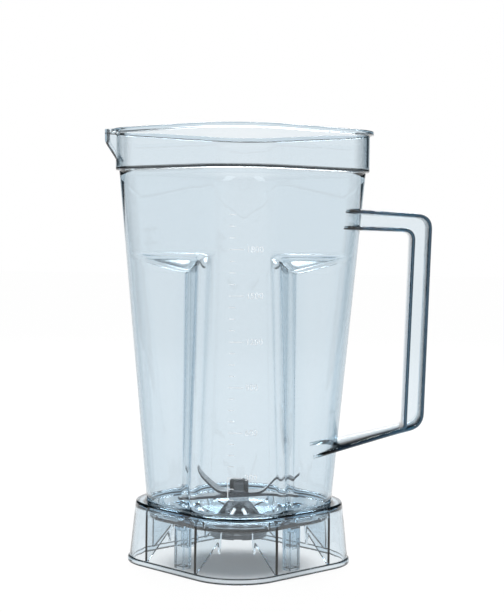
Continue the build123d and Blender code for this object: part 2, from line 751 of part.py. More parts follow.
with BuildPart() as blade_nut:
    with BuildSketch(Plane.XY.offset(LOCK_TOP)):
        RegularPolygon(HEX_ACROSS / 2, HEX_SIDES, major_radius=False)
    extrude(amount=HEX_HEIGHT)
    chamfer(blade_nut.edges().group_by(Axis.Z)[-1], HEX_CHAMFER)
    with BuildSketch(Plane.XY.offset(LOCK_TOP)):
        Circle(THREAD_RADIUS + RUN)
    extrude(amount=HEX_HEIGHT - THREAD_COVER, mode=Mode.SUBTRACT)
blade_nut.part.label = "blade_nut"
export_step(blade_nut.part, "parts/blade_nut.step")
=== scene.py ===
"""Clear blender jar on a pale floor, dressed for the library.

Lengths are millimetres in the jar's own frame: +X to the handle, -X to the
spout, +Z up, origin on the axis in the plane the jar stands on. The stage
around it (ground, lamps) is in metres.
"""

import json
import math
from collections import namedtuple

import bmesh
import bpy
from mathutils import Matrix, Vector


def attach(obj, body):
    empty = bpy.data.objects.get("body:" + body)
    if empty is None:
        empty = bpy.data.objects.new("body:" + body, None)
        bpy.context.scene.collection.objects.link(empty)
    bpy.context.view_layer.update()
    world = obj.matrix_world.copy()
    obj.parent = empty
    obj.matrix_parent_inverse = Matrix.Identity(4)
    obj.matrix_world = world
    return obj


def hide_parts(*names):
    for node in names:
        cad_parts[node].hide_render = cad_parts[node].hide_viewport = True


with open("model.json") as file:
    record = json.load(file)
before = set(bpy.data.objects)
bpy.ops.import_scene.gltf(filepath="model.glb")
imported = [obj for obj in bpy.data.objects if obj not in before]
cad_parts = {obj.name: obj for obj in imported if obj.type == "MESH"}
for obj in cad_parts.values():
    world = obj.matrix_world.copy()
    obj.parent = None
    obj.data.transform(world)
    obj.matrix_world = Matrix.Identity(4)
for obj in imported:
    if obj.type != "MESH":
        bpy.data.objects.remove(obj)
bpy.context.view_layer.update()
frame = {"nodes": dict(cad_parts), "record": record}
nodes = frame["nodes"]

MM = 0.001
ROOT2 = math.sqrt(2)
QUARTER = math.pi / 2
SIDES = 4
WHITE = (1, 1, 1, 1)

# Jar: a side is the distance from the axis to a face, a corner is its radius
JAR_HEIGHT = 270.0
LEDGE_Z = 244.3
LEDGE_RISE_INSIDE = 1.3
LEDGE_DROP_INSIDE = 1.7
COLLAR_SIDE = 66.5
COLLAR_WALL = 1.7
LIP = 2.4
LIP_SLOPE = 0.4
BODY_TOP_SIDE = 64.9
BODY_FOOT_SIDE = 51.6
FOOT_INSET_INSIDE = 0.5
CORNER = 36.0
WALL = 2.2
FLANGE_Z = 38.6
FLANGE = 3.0
SKIRT_SIDE = 57.6
SKIRT_WALL = 1.4
SKIRT_TOP_CORNER = 40.0
SKIRT_FOOT_CORNER = 31.0
BEAD = 1.2
BEAD_HEIGHT = 3.0
BEAD_SLOPE = 0.5
FLOOR_TOP = 23.4
FLOOR_BOTTOM = 20.0
FLOOR_FLAT = 20.0
FLOOR_FLAT_INSET = 0.6
FLOOR_CORNER = 19.0
FLOOR_CORNER_INSET = 1.0
FLOOR_HOLE = 12.4
HOLE_STRAIGHT = 0.8
DISH_RISE = 8.6
DISH_RISE_INSIDE = 7.2
DISH_INSET = 0.9
DISH_TOP_INSET = 0.3

# Flutes and spout
FLUTE_FLOOR = 48.1
FLUTE_HALF = 4.3
FLUTE_ANGLE = math.radians(60)
FLUTE_TOP = 184.0
FLUTE_BLEND = 3.0
RAMP_ANGLE = math.radians(28)
SPOUT_TIP = 86.0
SPOUT_HALF = 3.5
SPOUT_SPREAD = 1.043
SPOUT_LIP_Z = 262.0
SPOUT_KEEL = 0.714
SPOUT_WALL = 2.4
SPOUT_BLEND = 1.5
SPOUT_ROOT_HALF = 20.0

# Mesh spacing: columns per corner (handle, back, spout, front) and per side, rows by region
ARC_STEPS = (26, 26, 56, 26)
FLAT_STEPS = 36
BEND_STEPS = 5
BODY_ROW = 4.0
RAMP_ROW = 0.7
RAMP_ROWS_LOW = FLUTE_TOP - 5.0
RAMP_ROWS_HIGH = FLUTE_TOP + 14.0
COLLAR_ROW = 1.4
SHARP_ANGLE = math.radians(32)

# Stop on the section of the shell: its place, how far it is rounded either side, how much of the
# flutes shows there (0 or 1) and how far the flutes lie inside those of the outer face
Stop = namedtuple("Stop", "side corner z round flute inset")


def heading(angle):
    """Unit vector at an angle from +X."""
    return Vector((math.cos(angle), math.sin(angle)))


def left_of(run):
    """Vector turned a quarter turn to the left."""
    return Vector((-run.y, run.x))


def soft_min(first, second, blend):
    """Smaller of two values with the corner between them rounded."""
    share = max(blend - abs(first - second), 0) / blend
    return min(first, second) - share * share * blend / 4


def soft_max(first, second, blend):
    """Larger of two values with the corner between them rounded."""
    return -soft_min(-first, -second, blend)


def body_side(height):
    """Side of the tapering body at a height."""
    share = (height - FLANGE_Z) / (LEDGE_Z - FLANGE_Z)
    return BODY_FOOT_SIDE + share * (BODY_TOP_SIDE - BODY_FOOT_SIDE)


def corner_centre(height):
    """Distance from the axis to the centre of a corner of the body."""
    return (body_side(height) - CORNER) * ROOT2


def outline(side, corner):
    """Points of a round-cornered square whose corners lie on X and Y."""
    points = []
    straight = side - corner
    for quarter, arc_steps in enumerate(ARC_STEPS):
        turn = quarter * QUARTER
        centre = heading(turn) * straight * ROOT2
        for step in range(arc_steps):
            angle = turn - QUARTER / 2 + QUARTER * step / arc_steps
            points.append(centre + heading(angle) * corner)
        normal = heading(turn + QUARTER / 2)
        along = left_of(normal)
        for step in range(FLAT_STEPS):
            points.append(normal * side + along * straight * (2 * step / FLAT_STEPS - 1))
    return points


def flute_depth(along, height, inset):
    """How far a flute draws the wall in, for the outer or the inner face."""
    wall = body_side(height) - inset
    floor = FLUTE_FLOOR - inset
    half = FLUTE_HALF + inset * math.tan((QUARTER - FLUTE_ANGLE) / 2)
    top = FLUTE_TOP + inset * math.tan((QUARTER - RAMP_ANGLE) / 2)
    side = floor + (abs(along) - half) / math.tan(FLUTE_ANGLE)
    ramp = floor + (height - top) / math.tan(RAMP_ANGLE)
    groove = soft_max(soft_max(floor, side, FLUTE_BLEND), ramp, FLUTE_BLEND)
    return wall - soft_min(wall, groove, FLUTE_BLEND)


def spout_reach(across, height, inset):
    """Reach of the spout along -X at a point of its face."""
    side = SPOUT_TIP - (abs(across) - SPOUT_HALF) * SPOUT_SPREAD
    keel = SPOUT_TIP - (SPOUT_LIP_Z - height) * SPOUT_KEEL
    return soft_min(soft_min(SPOUT_TIP, side, SPOUT_BLEND), keel, SPOUT_BLEND) - inset


def row_gap(height):
    """Distance to the next row of the mesh."""
    if height > LEDGE_Z:
        return COLLAR_ROW
    if RAMP_ROWS_LOW < height < RAMP_ROWS_HIGH:
        return RAMP_ROW
    return BODY_ROW


def bend(last, here, following, cut, steps):
    """Points round a corner of a path, from a cut before it to a cut after it."""
    start = here + (last - here).normalized() * cut
    end = here + (following - here).normalized() * cut
    points = []
    for step in range(steps + 1):
        share = step / steps
        points.append(start.lerp(here, share).lerp(here.lerp(end, share), share))
    return points


def straight_run(start, end, before_stop, stop):
    """Stations between two points of the path, close together at the ramps."""
    length = (end - start).length
    stations = []
    run = row_gap(start.z)
    while run < length - RAMP_ROW / 2:
        share = run / length
        here = start.lerp(end, share)
        flute = before_stop.flute + (stop.flute - before_stop.flute) * share
        stations.append((here, stop._replace(flute=flute)))
        run += row_gap(here.z)
    return stations


def rounded(path):
    """Stations along a path of stops: (side, corner, z) and the stop each belongs to."""
    places = [Vector((stop.side, stop.corner, stop.z)) for stop in path]
    stations = []
    for index, stop in enumerate(path):
        turn = [places[index]]
        if 0 < index < len(path) - 1:
            turn = bend(places[index - 1], places[index], places[index + 1], stop.round, BEND_STEPS)
        if stations:
            last, before_stop = stations[-1]
            stations += straight_run(last, turn[0], before_stop, stop)
        stations += [(place, stop) for place in turn]
    return stations


COLLAR_INSIDE = COLLAR_SIDE - COLLAR_WALL
SKIRT_INSIDE = SKIRT_SIDE - SKIRT_WALL
FOOT_INSIDE = BODY_FOOT_SIDE - WALL - FOOT_INSET_INSIDE
HOLE_CORNER = FLOOR_HOLE - HOLE_STRAIGHT
FLANGE_BOTTOM = FLANGE_Z - FLANGE
SHELL_PATH = [
    Stop(FLOOR_HOLE, HOLE_CORNER, FLOOR_BOTTOM, 0, 0, 0),
    Stop(FLOOR_FLAT, FLOOR_CORNER, FLOOR_BOTTOM, 4.0, 0, 0),
    Stop(BODY_FOOT_SIDE - DISH_INSET, CORNER, FLOOR_BOTTOM + DISH_RISE, 1.6, 0, 0),
    Stop(BODY_FOOT_SIDE - DISH_TOP_INSET, CORNER, FLANGE_BOTTOM, 1.2, 0, 0),
    Stop(SKIRT_INSIDE, SKIRT_TOP_CORNER - SKIRT_WALL, FLANGE_BOTTOM, 1.4, 0, 0),
    Stop(SKIRT_INSIDE, SKIRT_FOOT_CORNER - SKIRT_WALL, 0, 0.8, 0, 0),
    Stop(SKIRT_SIDE + BEAD, SKIRT_FOOT_CORNER + BEAD, 0, 0.9, 0, 0),
    Stop(SKIRT_SIDE + BEAD, SKIRT_FOOT_CORNER + BEAD, BEAD_HEIGHT, 1.0, 0, 0),
    Stop(SKIRT_SIDE, SKIRT_FOOT_CORNER, BEAD_HEIGHT + BEAD_SLOPE, 0.5, 0, 0),
    Stop(SKIRT_SIDE, SKIRT_TOP_CORNER, FLANGE_Z, 1.7, 0, 0),
    Stop(BODY_FOOT_SIDE, CORNER, FLANGE_Z, 1.5, 1, 0),
    Stop(BODY_TOP_SIDE, CORNER, LEDGE_Z, 0.5, 1, 0),
    Stop(COLLAR_SIDE, CORNER, LEDGE_Z, 1.1, 0, 0),
    Stop(COLLAR_SIDE, CORNER, JAR_HEIGHT - LIP - LIP_SLOPE, 0.5, 0, 0),
    Stop(COLLAR_SIDE + LIP, CORNER + LIP, JAR_HEIGHT - LIP, 0.7, 0, 0),
    Stop(COLLAR_SIDE + LIP, CORNER + LIP, JAR_HEIGHT, 0.9, 0, 0),
    Stop(COLLAR_INSIDE, CORNER - COLLAR_WALL, JAR_HEIGHT, 0.7, 0, WALL),
    Stop(COLLAR_INSIDE, CORNER - COLLAR_WALL, LEDGE_Z + LEDGE_RISE_INSIDE, 1.2, 0, WALL),
    Stop(BODY_TOP_SIDE - WALL, CORNER - WALL, LEDGE_Z - LEDGE_DROP_INSIDE, 1.6, 1, WALL),
    Stop(FOOT_INSIDE, CORNER - WALL, FLOOR_TOP + DISH_RISE_INSIDE, 2.5, 1, WALL),
    Stop(FLOOR_FLAT - FLOOR_FLAT_INSET, FLOOR_CORNER - FLOOR_CORNER_INSET, FLOOR_TOP, 4.0, 0, WALL),
    Stop(FLOOR_HOLE, HOLE_CORNER, FLOOR_TOP, 0, 0, WALL),
]


def shell_point(flat, height, stop):
    """Point of the shell with the flutes and the spout worked in."""
    point = flat.copy()
    if stop.flute:
        for quarter in range(SIDES):
            normal = heading((quarter + 0.5) * QUARTER)
            if point.dot(normal) > point.length * math.cos(QUARTER / 2):
                along = point.dot(left_of(normal))
                depth = flute_depth(along, max(height, FLANGE_Z), stop.inset)
                point -= normal * depth * stop.flute
                break
    if height > LEDGE_Z and point.x < 0 and abs(point.y) < SPOUT_ROOT_HALF:
        reach = spout_reach(point.y, height, SPOUT_WALL if stop.inset else 0)
        point.x = -soft_max(-point.x, reach, SPOUT_BLEND / 2)
    return (point.x * MM, point.y * MM, height * MM)


def placed(name, data):
    """New object in the scene."""
    thing = bpy.data.objects.new(name, data)
    bpy.context.scene.collection.objects.link(thing)
    return thing


def closed_mesh(name, rings, capped):
    """Mesh of rings of points joined in order, closed on itself or capped."""
    count = len(rings[0])
    verts = [vert for ring in rings for vert in ring]
    faces = []
    last = len(rings) - 1
    for row in range(last if capped else len(rings)):
        for step in range(count):
            after = (step + 1) % count
            below = row * count
            above = (row + 1) % len(rings) * count
            faces.append((below + step, below + after, above + after, above + step))
    if capped:
        faces.append(tuple(reversed(range(count))))
        faces.append(tuple(last * count + step for step in range(count)))
    mesh = bpy.data.meshes.new(name)
    mesh.from_pydata(verts, [], faces)
    built = bmesh.new()
    built.from_mesh(mesh)
    bmesh.ops.recalc_face_normals(built, faces=built.faces)
    built.to_mesh(mesh)
    built.free()
    return placed(name, mesh)


def prism(name, polygon, low, high, place):
    """Straight prism: a polygon of (x, z) swept from low to high along y."""
    rings = []
    for y in (low, high):
        rings.append([place @ Vector((x * MM, y * MM, z * MM)) for x, z in polygon])
    return closed_mesh(name, rings, True)


def evaluated_mesh(thing):
    """New mesh of an object with its modifiers or its text worked in."""
    depsgraph = bpy.context.evaluated_depsgraph_get()
    return bpy.data.meshes.new_from_object(thing.evaluated_get(depsgraph))


def fuse(base, extra, operation="UNION"):
    """Unite a mesh with another, or cut the other away, and drop the other."""
    change = base.modifiers.new("change", "BOOLEAN")
    change.object = extra
    change.operation = operation
    change.solver = "MANIFOLD"
    mesh = evaluated_mesh(base)
    base.modifiers.remove(change)
    base.data = mesh
    bpy.data.objects.remove(extra)


shell_rings = []
for place, stop in rounded(SHELL_PATH):
    shell_rings.append([shell_point(flat, place.z, stop) for flat in outline(place.x, place.y)])
jar = closed_mesh("jar", shell_rings, False)

# Handle: two bent strips that flare at the wall, with a web between them.
# A path is a list of (x, z, how far its corner is cut)
STRIP_HALF = 15.0
ROOT_HALF = 29.0
FLARE_END = 96.0
ROOT_X = 46.0
EMBED = 1.3
WEB_HALF = 1.5
WEB_GAP = 0.3
EDGE = 1.05
EDGE_STEPS = 8
DRAFT = math.tan(math.radians(2))
STRIP_BEND_STEPS = 8
STRIP_ROW = 4.0
OUTER_PATH = [(ROOT_X, 222.0, 0), (116.4, 217.8, 8.0), (112.9, 88.4, 8.0), (ROOT_X, 70.2, 0)]
INNER_PATH = [(ROOT_X, 210.8, 0), (106.2, 209.3, 6.5), (102.6, 86.0, 3.0), (ROOT_X, 70.2, 0)]


def bent(path):
    """Closely spaced points along a path whose corners are rounded."""
    places = [Vector((x, z)) for x, z, _ in path]
    points = [places[0]]
    for index in range(1, len(path) - 1):
        cut = path[index][2]
        points += bend(places[index - 1], places[index], places[index + 1], cut, STRIP_BEND_STEPS)
    points.append(places[-1])
    spaced = [points[0]]
    for point in points[1:]:
        origin = spaced[-1]
        pieces = max(1, round((point - origin).length / STRIP_ROW))
        for step in range(1, pieces + 1):
            spaced.append(origin.lerp(point, step / pieces))
    return spaced


def strip_section(half):
    """Section of a strip as (across, thickness), drafted from its middle to round edges."""
    middle = EDGE + half * DRAFT
    section = []
    for side in (1, -1):
        for step in range(EDGE_STEPS + 1):
            angle = math.pi * step / EDGE_STEPS - QUARTER
            across = half - EDGE + EDGE * math.cos(angle)
            section.append((side * across, side * EDGE * math.sin(angle)))
        section.append((0, side * middle))
    return section


def strip(name, path):
    """Strip swept along a path, wider toward the wall."""
    points = bent(path)
    rings = []
    for index, here in enumerate(points):
        ahead = points[min(index + 1, len(points) - 1)]
        behind = points[max(index - 1, 0)]
        normal = left_of((ahead - behind).normalized())
        share = max(0, min(1, (FLARE_END - here.x) / (FLARE_END - ROOT_X)))
        half = STRIP_HALF + (ROOT_HALF - STRIP_HALF) * share
        ring = []
        for across, rise in strip_section(half):
            spot = here + normal * rise
            ring.append((spot.x * MM, across * MM, spot.y * MM))
        rings.append(ring)
    return closed_mesh(name, rings, True)


def web(name):
    """Flat web that fills the space between the two strips."""
    polygon = []
    for spot in bent(OUTER_PATH) + bent(INNER_PATH)[::-1]:
        if not polygon or (spot - polygon[-1]).length > WEB_GAP:
            polygon.append(spot)
    return prism(name, polygon, -WEB_HALF, WEB_HALF, Matrix())


def body_core():
    """Inside of the body, to trim the handle where it passes the wall."""
    rings = []
    for height in (FLANGE_Z, LEDGE_Z):
        ring = outline(body_side(height) - EMBED, CORNER - EMBED)
        rings.append([(spot.x * MM, spot.y * MM, height * MM) for spot in ring])
    return closed_mesh("core", rings, True)


handle = web("web")
fuse(handle, strip("strip", OUTER_PATH))
fuse(handle, strip("strip", INNER_PATH))
fuse(handle, body_core(), "DIFFERENCE")
fuse(jar, handle)

# Ribs with pointed ends and hollow posts under the floor, as (distance from the axis, z)
RIB_ALONG = 22.5
RIB_HALF = 1.0
RIB = [
    (36.1, 26.3), (44.7, 28.4), (50.0, 30.0), (50.2, 36.6), (56.3, 36.6),
    (56.3, 2.5), (38.5, 20.0), (37.3, 13.0), (36.4, 20.0),
]
POST_HALF = 4.2
POST_WALL = 1.6
SOCKET_HALF = POST_HALF - POST_WALL
POST = [(42.9, 1.5), (42.9, 27.8), (49.3, 30.0), (49.3, 1.5)]
SOCKET = [(44.5, 1.0), (44.5, 25.0), (47.7, 25.0), (47.7, 1.0)]
for quarter in range(SIDES):
    turn = Matrix.Rotation((quarter + 0.5) * QUARTER, 4, "Z")
    for along in (-RIB_ALONG, RIB_ALONG):
        fuse(jar, prism("rib", RIB, along - RIB_HALF, along + RIB_HALF, turn))
    fuse(jar, prism("post", POST, -POST_HALF, POST_HALF, turn))
    fuse(jar, prism("socket", SOCKET, -SOCKET_HALF, SOCKET_HALF, turn), "DIFFERENCE")
jar.data.polygons.foreach_set("use_smooth", [True] * len(jar.data.polygons))
jar.data.set_sharp_from_angle(angle=SHARP_ANGLE)
jar.data.update()

# Graduations raised on the front corner: a short rule, ticks, and plain numbers at the long ticks
RULE_X = -5.2
RULE_FOOT_Z = 48.5
RULE_TOP_Z = 222.0
TICK_RISE = 6.75
TICK_HALF = 0.25
TICK_RAISE = 0.3
TICK_STEPS = 4
SHORT_TICK = 3.5
LONG_TICK = 8.5
LONG_EVERY = 4
FIRST_LONG = 2
NUMBER_X = 4.6
NUMBER_SIZE = 5.0
NUMBER_STEP = 300


def front_point(across, height, raised):
    """Point on the front corner of the body, raised off its face."""
    reach = corner_centre(height) + math.sqrt(CORNER ** 2 - across ** 2) + raised
    return (across * MM, -reach * MM, height * MM)


def raised_bar(start, end, low, high):
    """Bar on the front corner between two places across and two heights."""
    rings = []
    for step in range(TICK_STEPS + 1):
        across = start + (end - start) * step / TICK_STEPS
        rings.append([
            front_point(across, low, 0), front_point(across, low, TICK_RAISE),
            front_point(across, high, TICK_RAISE), front_point(across, high, 0),
        ])
    return closed_mesh("bar", rings, True)


def raised_number(value, height):
    """Number on the front corner, set level with its tick."""
    text = bpy.data.curves.new("number", "FONT")
    text.body = str(value)
    text.size = NUMBER_SIZE
    text.extrude = TICK_RAISE / 2
    text.align_y = "CENTER"
    thing = placed("number", text)
    mesh = evaluated_mesh(thing)
    bpy.data.objects.remove(thing)
    for vert in mesh.vertices:
        across, rise, out = vert.co
        vert.co = front_point(NUMBER_X + across, height + rise, out + TICK_RAISE / 2)
    return placed("number", mesh)


rule_end_z = RULE_FOOT_Z + FIRST_LONG * TICK_RISE
scale_marks = [raised_bar(RULE_X - TICK_HALF, RULE_X + TICK_HALF, RULE_FOOT_Z, rule_end_z)]
ticks = int((RULE_TOP_Z - RULE_FOOT_Z) / TICK_RISE) + 1
for tick in range(ticks):
    height = RULE_FOOT_Z + tick * TICK_RISE
    long = tick % LONG_EVERY == FIRST_LONG
    reach = LONG_TICK if long else SHORT_TICK
    scale_marks.append(raised_bar(RULE_X, RULE_X + reach, height - TICK_HALF, height + TICK_HALF))
    if long:
        scale_marks.append(raised_number((tick // LONG_EVERY + 1) * NUMBER_STEP, height))
joined = bmesh.new()
for mark in scale_marks:
    joined.from_mesh(mark.data)
    bpy.data.objects.remove(mark)
graduations_mesh = bpy.data.meshes.new("graduations")
joined.to_mesh(graduations_mesh)
joined.free()
graduations = placed("graduations", graduations_mesh)

# Parts of the range of a noise that are spread over roughness and blended from dark to light
SPREAD_RANGE = (0.3, 0.7)
TINT_RANGE = (0.35, 0.65)


def material(name):
    """New node material with its tree and its principled shader."""
    made = bpy.data.materials.new(name)
    made.use_nodes = True
    return made, made.node_tree, made.node_tree.nodes["Principled BSDF"]


def noise(tree, scale, detail, stretch=(1, 1, 1)):
    """Noise over the object's own coordinates."""
    place = tree.nodes.new("ShaderNodeTexCoord")
    mapping = tree.nodes.new("ShaderNodeMapping")
    mapping.inputs["Scale"].default_value = stretch
    pattern = tree.nodes.new("ShaderNodeTexNoise")
    pattern.inputs["Scale"].default_value = scale
    pattern.inputs["Detail"].default_value = detail
    tree.links.new(place.outputs["Object"], mapping.inputs["Vector"])
    tree.links.new(mapping.outputs["Vector"], pattern.inputs["Vector"])
    return pattern.outputs["Fac"]


def ranged(tree, value, start, end, low, high, way="LINEAR"):
    """Value mapped from one range onto another."""
    node = tree.nodes.new("ShaderNodeMapRange")
    node.interpolation_type = way
    node.inputs["From Min"].default_value = start
    node.inputs["From Max"].default_value = end
    node.inputs["To Min"].default_value = low
    node.inputs["To Max"].default_value = high
    tree.links.new(value, node.inputs["Value"])
    return node.outputs["Result"]


def spread(tree, value, low, high):
    """Noise value mapped onto a range."""
    return ranged(tree, value, *SPREAD_RANGE, low, high)


def fade(tree, value, start, end):
    """Smooth step of a value from 0 at start to 1 at end, rising or falling."""
    if start < end:
        return ranged(tree, value, start, end, 0, 1, "SMOOTHSTEP")
    return ranged(tree, value, end, start, 1, 0, "SMOOTHSTEP")


def fade_mm(tree, value, start, end):
    """Smooth step of a length between limits in millimetres."""
    return fade(tree, value, start * MM, end * MM)


def tint(tree, value, dark, light):
    """Blend of two colours by a noise value."""
    ramp = tree.nodes.new("ShaderNodeValToRGB")
    for index, colour in enumerate((dark, light)):
        ramp.color_ramp.elements[index].position = TINT_RANGE[index]
        ramp.color_ramp.elements[index].color = (*colour, 1)
    tree.links.new(value, ramp.inputs["Fac"])
    return ramp.outputs["Color"]


def bump(tree, shader, value, strength, distance):
    """Surface of a shader raised by a noise value."""
    raised = tree.nodes.new("ShaderNodeBump")
    raised.inputs["Strength"].default_value = strength
    raised.inputs["Distance"].default_value = distance
    tree.links.new(value, raised.inputs["Height"])
    tree.links.new(raised.outputs["Normal"], shader.inputs["Normal"])


def paint(tree, shader, colour, roughness):
    """Colour and roughness of a shader taken from sockets."""
    tree.links.new(colour, shader.inputs["Base Color"])
    tree.links.new(roughness, shader.inputs["Roughness"])


def math_node(tree, operation, first, second=0.0):
    """Math node fed by sockets or numbers."""
    node = tree.nodes.new("ShaderNodeMath")
    node.operation = operation
    for socket, value in zip(node.inputs, (first, second)):
        if isinstance(value, float):
            socket.default_value = value
        else:
            tree.links.new(value, socket)
    return node.outputs["Value"]


def chain(tree, operation, first, *others):
    """Math operation carried through several sockets in turn."""
    for other in others:
        first = math_node(tree, operation, first, other)
    return first


def axes(tree, vector):
    """Components of a vector."""
    parted = tree.nodes.new("ShaderNodeSeparateXYZ")
    tree.links.new(vector, parted.inputs["Vector"])
    return parted.outputs


def deepened(tree, colour, mask, deep):
    """Colour multiplied by a darker painted shade where the mask is set."""
    shade = tree.nodes.new("ShaderNodeMix")
    shade.data_type = "RGBA"
    shade.blend_type = "MULTIPLY"
    tree.links.new(mask, shade.inputs["Factor"])
    tree.links.new(colour, shade.inputs["A"])
    shade.inputs["B"].default_value = (*deep, 1)
    return shade.outputs["Result"]


# Clear plastic. Painted shade darkens it on the sides of the wall, along the moulded edges, given as
# (height, half width), and on the edges of the handle. Other pairs: where a mask starts, where it is full
PLASTIC_IOR = 1.5
CLEAR_NOISE = (900, 4)
CLEAR_DARK = (0.95, 0.97, 0.98)
CLEAR_LIGHT = (0.98, 0.99, 1)
CLEAR_ROUGH = (0.005, 0.02)
ABSORB_COLOUR = (0, 0.31, 0.49)
ABSORB_DENSITY = 82
# Painted shade: the wall's sides are darkened where they are seen edge on
SIDE_PAINTED_SHADE = (0.42, 0.52, 0.58)
SIDE_FACING = (0.42, 0.95)
SIDE_LEVEL = (0.7, 0.3)
SIDE_FOOT_Z = (38.0, 50.0)
# Painted shade: dark lines along the moulded edges, darkened almost to black
EDGE_LINES = [(0.6, 1.0), (3.4, 0.6), (37.8, 0.9), (245.4, 1.6), (267.4, 0.5)]
EDGE_PAINTED_SHADE = (0.0006, 0.0014, 0.002)
EDGE_CORE = 0.25
EDGE_LEVEL = (0.98, 0.9)
# Painted shade: the edges of the handle's strips are darkened
HANDLE_PAINTED_SHADE = (0.3, 0.4, 0.42)
HANDLE_OFF_CENTRE = (CORNER + 0.3, CORNER + 0.9)
HANDLE_ASIDE = (3.5, 4.5)
HANDLE_ACROSS = (0.25, 0.5)
HANDLE_TOP_Z = (226.0, 224.0)
HANDLE_FOOT_Z = (64.0, 66.0)


def side_mask(tree, spot, normal):
    """Painted shade on upright faces above the flange, where they are seen edge on."""
    grazing = tree.nodes.new("ShaderNodeLayerWeight").outputs["Facing"]
    level = math_node(tree, "ABSOLUTE", normal["Z"])
    return chain(
        tree, "MULTIPLY",
        fade(tree, grazing, *SIDE_FACING),
        fade(tree, level, *SIDE_LEVEL),
        fade_mm(tree, spot["Z"], *SIDE_FOOT_Z),
    )


def edge_mask(tree, spot, normal):
    """Bands of painted shade along the moulded edges, on the faces where a ray enters the plastic."""
    bands = []
    for middle, half in EDGE_LINES:
        off = math_node(tree, "ABSOLUTE", math_node(tree, "SUBTRACT", spot["Z"], middle * MM))
        bands.append(fade_mm(tree, off, half, half * EDGE_CORE))
    level = math_node(tree, "ABSOLUTE", normal["Z"])
    leaving = tree.nodes.new("ShaderNodeNewGeometry").outputs["Backfacing"]
    return chain(
        tree, "MULTIPLY",
        chain(tree, "MAXIMUM", *bands),
        fade(tree, level, *EDGE_LEVEL),
        math_node(tree, "SUBTRACT", 1.0, leaving),
    )


def handle_mask(tree, spot, normal):
    """Painted shade on the edges of the handle's strips, clear of the wall and of the web."""
    rake = (corner_centre(LEDGE_Z) - corner_centre(FLANGE_Z)) / (LEDGE_Z - FLANGE_Z)
    foot = (corner_centre(FLANGE_Z) - rake * FLANGE_Z) * MM
    centre = math_node(tree, "ADD", math_node(tree, "MULTIPLY", spot["Z"], rake), foot)
    aside = math_node(tree, "ABSOLUTE", spot["Y"])
    out = math_node(tree, "SUBTRACT", spot["X"], centre)
    from_side = math_node(tree, "MULTIPLY", math_node(tree, "ADD", out, aside), 1 / ROOT2)
    from_side = math_node(tree, "MAXIMUM", from_side, 0.0)
    along_side = math_node(tree, "MULTIPLY", math_node(tree, "SUBTRACT", aside, out), 1 / ROOT2)
    along_side = math_node(tree, "MINIMUM", along_side, 0.0)
    squares = [math_node(tree, "MULTIPLY", value, value) for value in (from_side, along_side)]
    off_centre = math_node(tree, "SQRT", math_node(tree, "ADD", *squares))
    across = math_node(tree, "ABSOLUTE", normal["Y"])
    return chain(
        tree, "MULTIPLY",
        fade_mm(tree, off_centre, *HANDLE_OFF_CENTRE),
        fade_mm(tree, aside, *HANDLE_ASIDE),
        fade(tree, across, *HANDLE_ACROSS),
        fade_mm(tree, spot["Z"], *HANDLE_TOP_Z),
        fade_mm(tree, spot["Z"], *HANDLE_FOOT_Z),
    )


def clear_plastic():
    """Clear plastic that takes up a blue-green tint with depth, darkened by painted shade in places."""
    made, tree, shader = material("clear_plastic")
    specks = noise(tree, *CLEAR_NOISE)
    place = tree.nodes.new("ShaderNodeTexCoord")
    spot = axes(tree, place.outputs["Object"])
    normal = axes(tree, place.outputs["Normal"])
    colour = tint(tree, specks, CLEAR_DARK, CLEAR_LIGHT)
    # Painted shade on the wall's sides, along the moulded edges and on the handle's edges
    colour = deepened(tree, colour, side_mask(tree, spot, normal), SIDE_PAINTED_SHADE)
    colour = deepened(tree, colour, edge_mask(tree, spot, normal), EDGE_PAINTED_SHADE)
    colour = deepened(tree, colour, handle_mask(tree, spot, normal), HANDLE_PAINTED_SHADE)
    paint(tree, shader, colour, spread(tree, specks, *CLEAR_ROUGH))
    shader.inputs["Transmission Weight"].default_value = 1
    shader.inputs["IOR"].default_value = PLASTIC_IOR
    absorb = tree.nodes.new("ShaderNodeVolumeAbsorption")
    absorb.inputs["Color"].default_value = (*ABSORB_COLOUR, 1)
    absorb.inputs["Density"].default_value = ABSORB_DENSITY
    tree.links.new(absorb.outputs["Volume"], tree.nodes["Material Output"].inputs["Volume"])
    return made


# Frosted plastic of the graduations, and black rubber; a noise is (scale, detail)
FROST_NOISE = (1200, 5)
FROST_DARK = (0.8, 0.86, 0.9)
FROST_LIGHT = (0.92, 0.95, 0.97)
FROST_ROUGH = (0.3, 0.5)
FROST_TRANSMISSION = 0.45
RUBBER_NOISE = (1500, 5)
RUBBER_DARK = (0.018, 0.018, 0.018)
RUBBER_LIGHT = (0.035, 0.035, 0.035)
RUBBER_ROUGH = (0.55, 0.75)
RUBBER_BUMP = (0.3, 0.0002)


def frosted_plastic():
    """Cloudy plastic of the raised scale."""
    made, tree, shader = material("frosted_plastic")
    specks = noise(tree, *FROST_NOISE)
    colour = tint(tree, specks, FROST_DARK, FROST_LIGHT)
    paint(tree, shader, colour, spread(tree, specks, *FROST_ROUGH))
    shader.inputs["Transmission Weight"].default_value = FROST_TRANSMISSION
    shader.inputs["IOR"].default_value = PLASTIC_IOR
    return made


def black_rubber():
    """Dull black rubber with a fine grain."""
    made, tree, shader = material("black_rubber")
    grain = noise(tree, *RUBBER_NOISE)
    colour = tint(tree, grain, RUBBER_DARK, RUBBER_LIGHT)
    paint(tree, shader, colour, spread(tree, grain, *RUBBER_ROUGH))
    bump(tree, shader, grain, *RUBBER_BUMP)
    return made
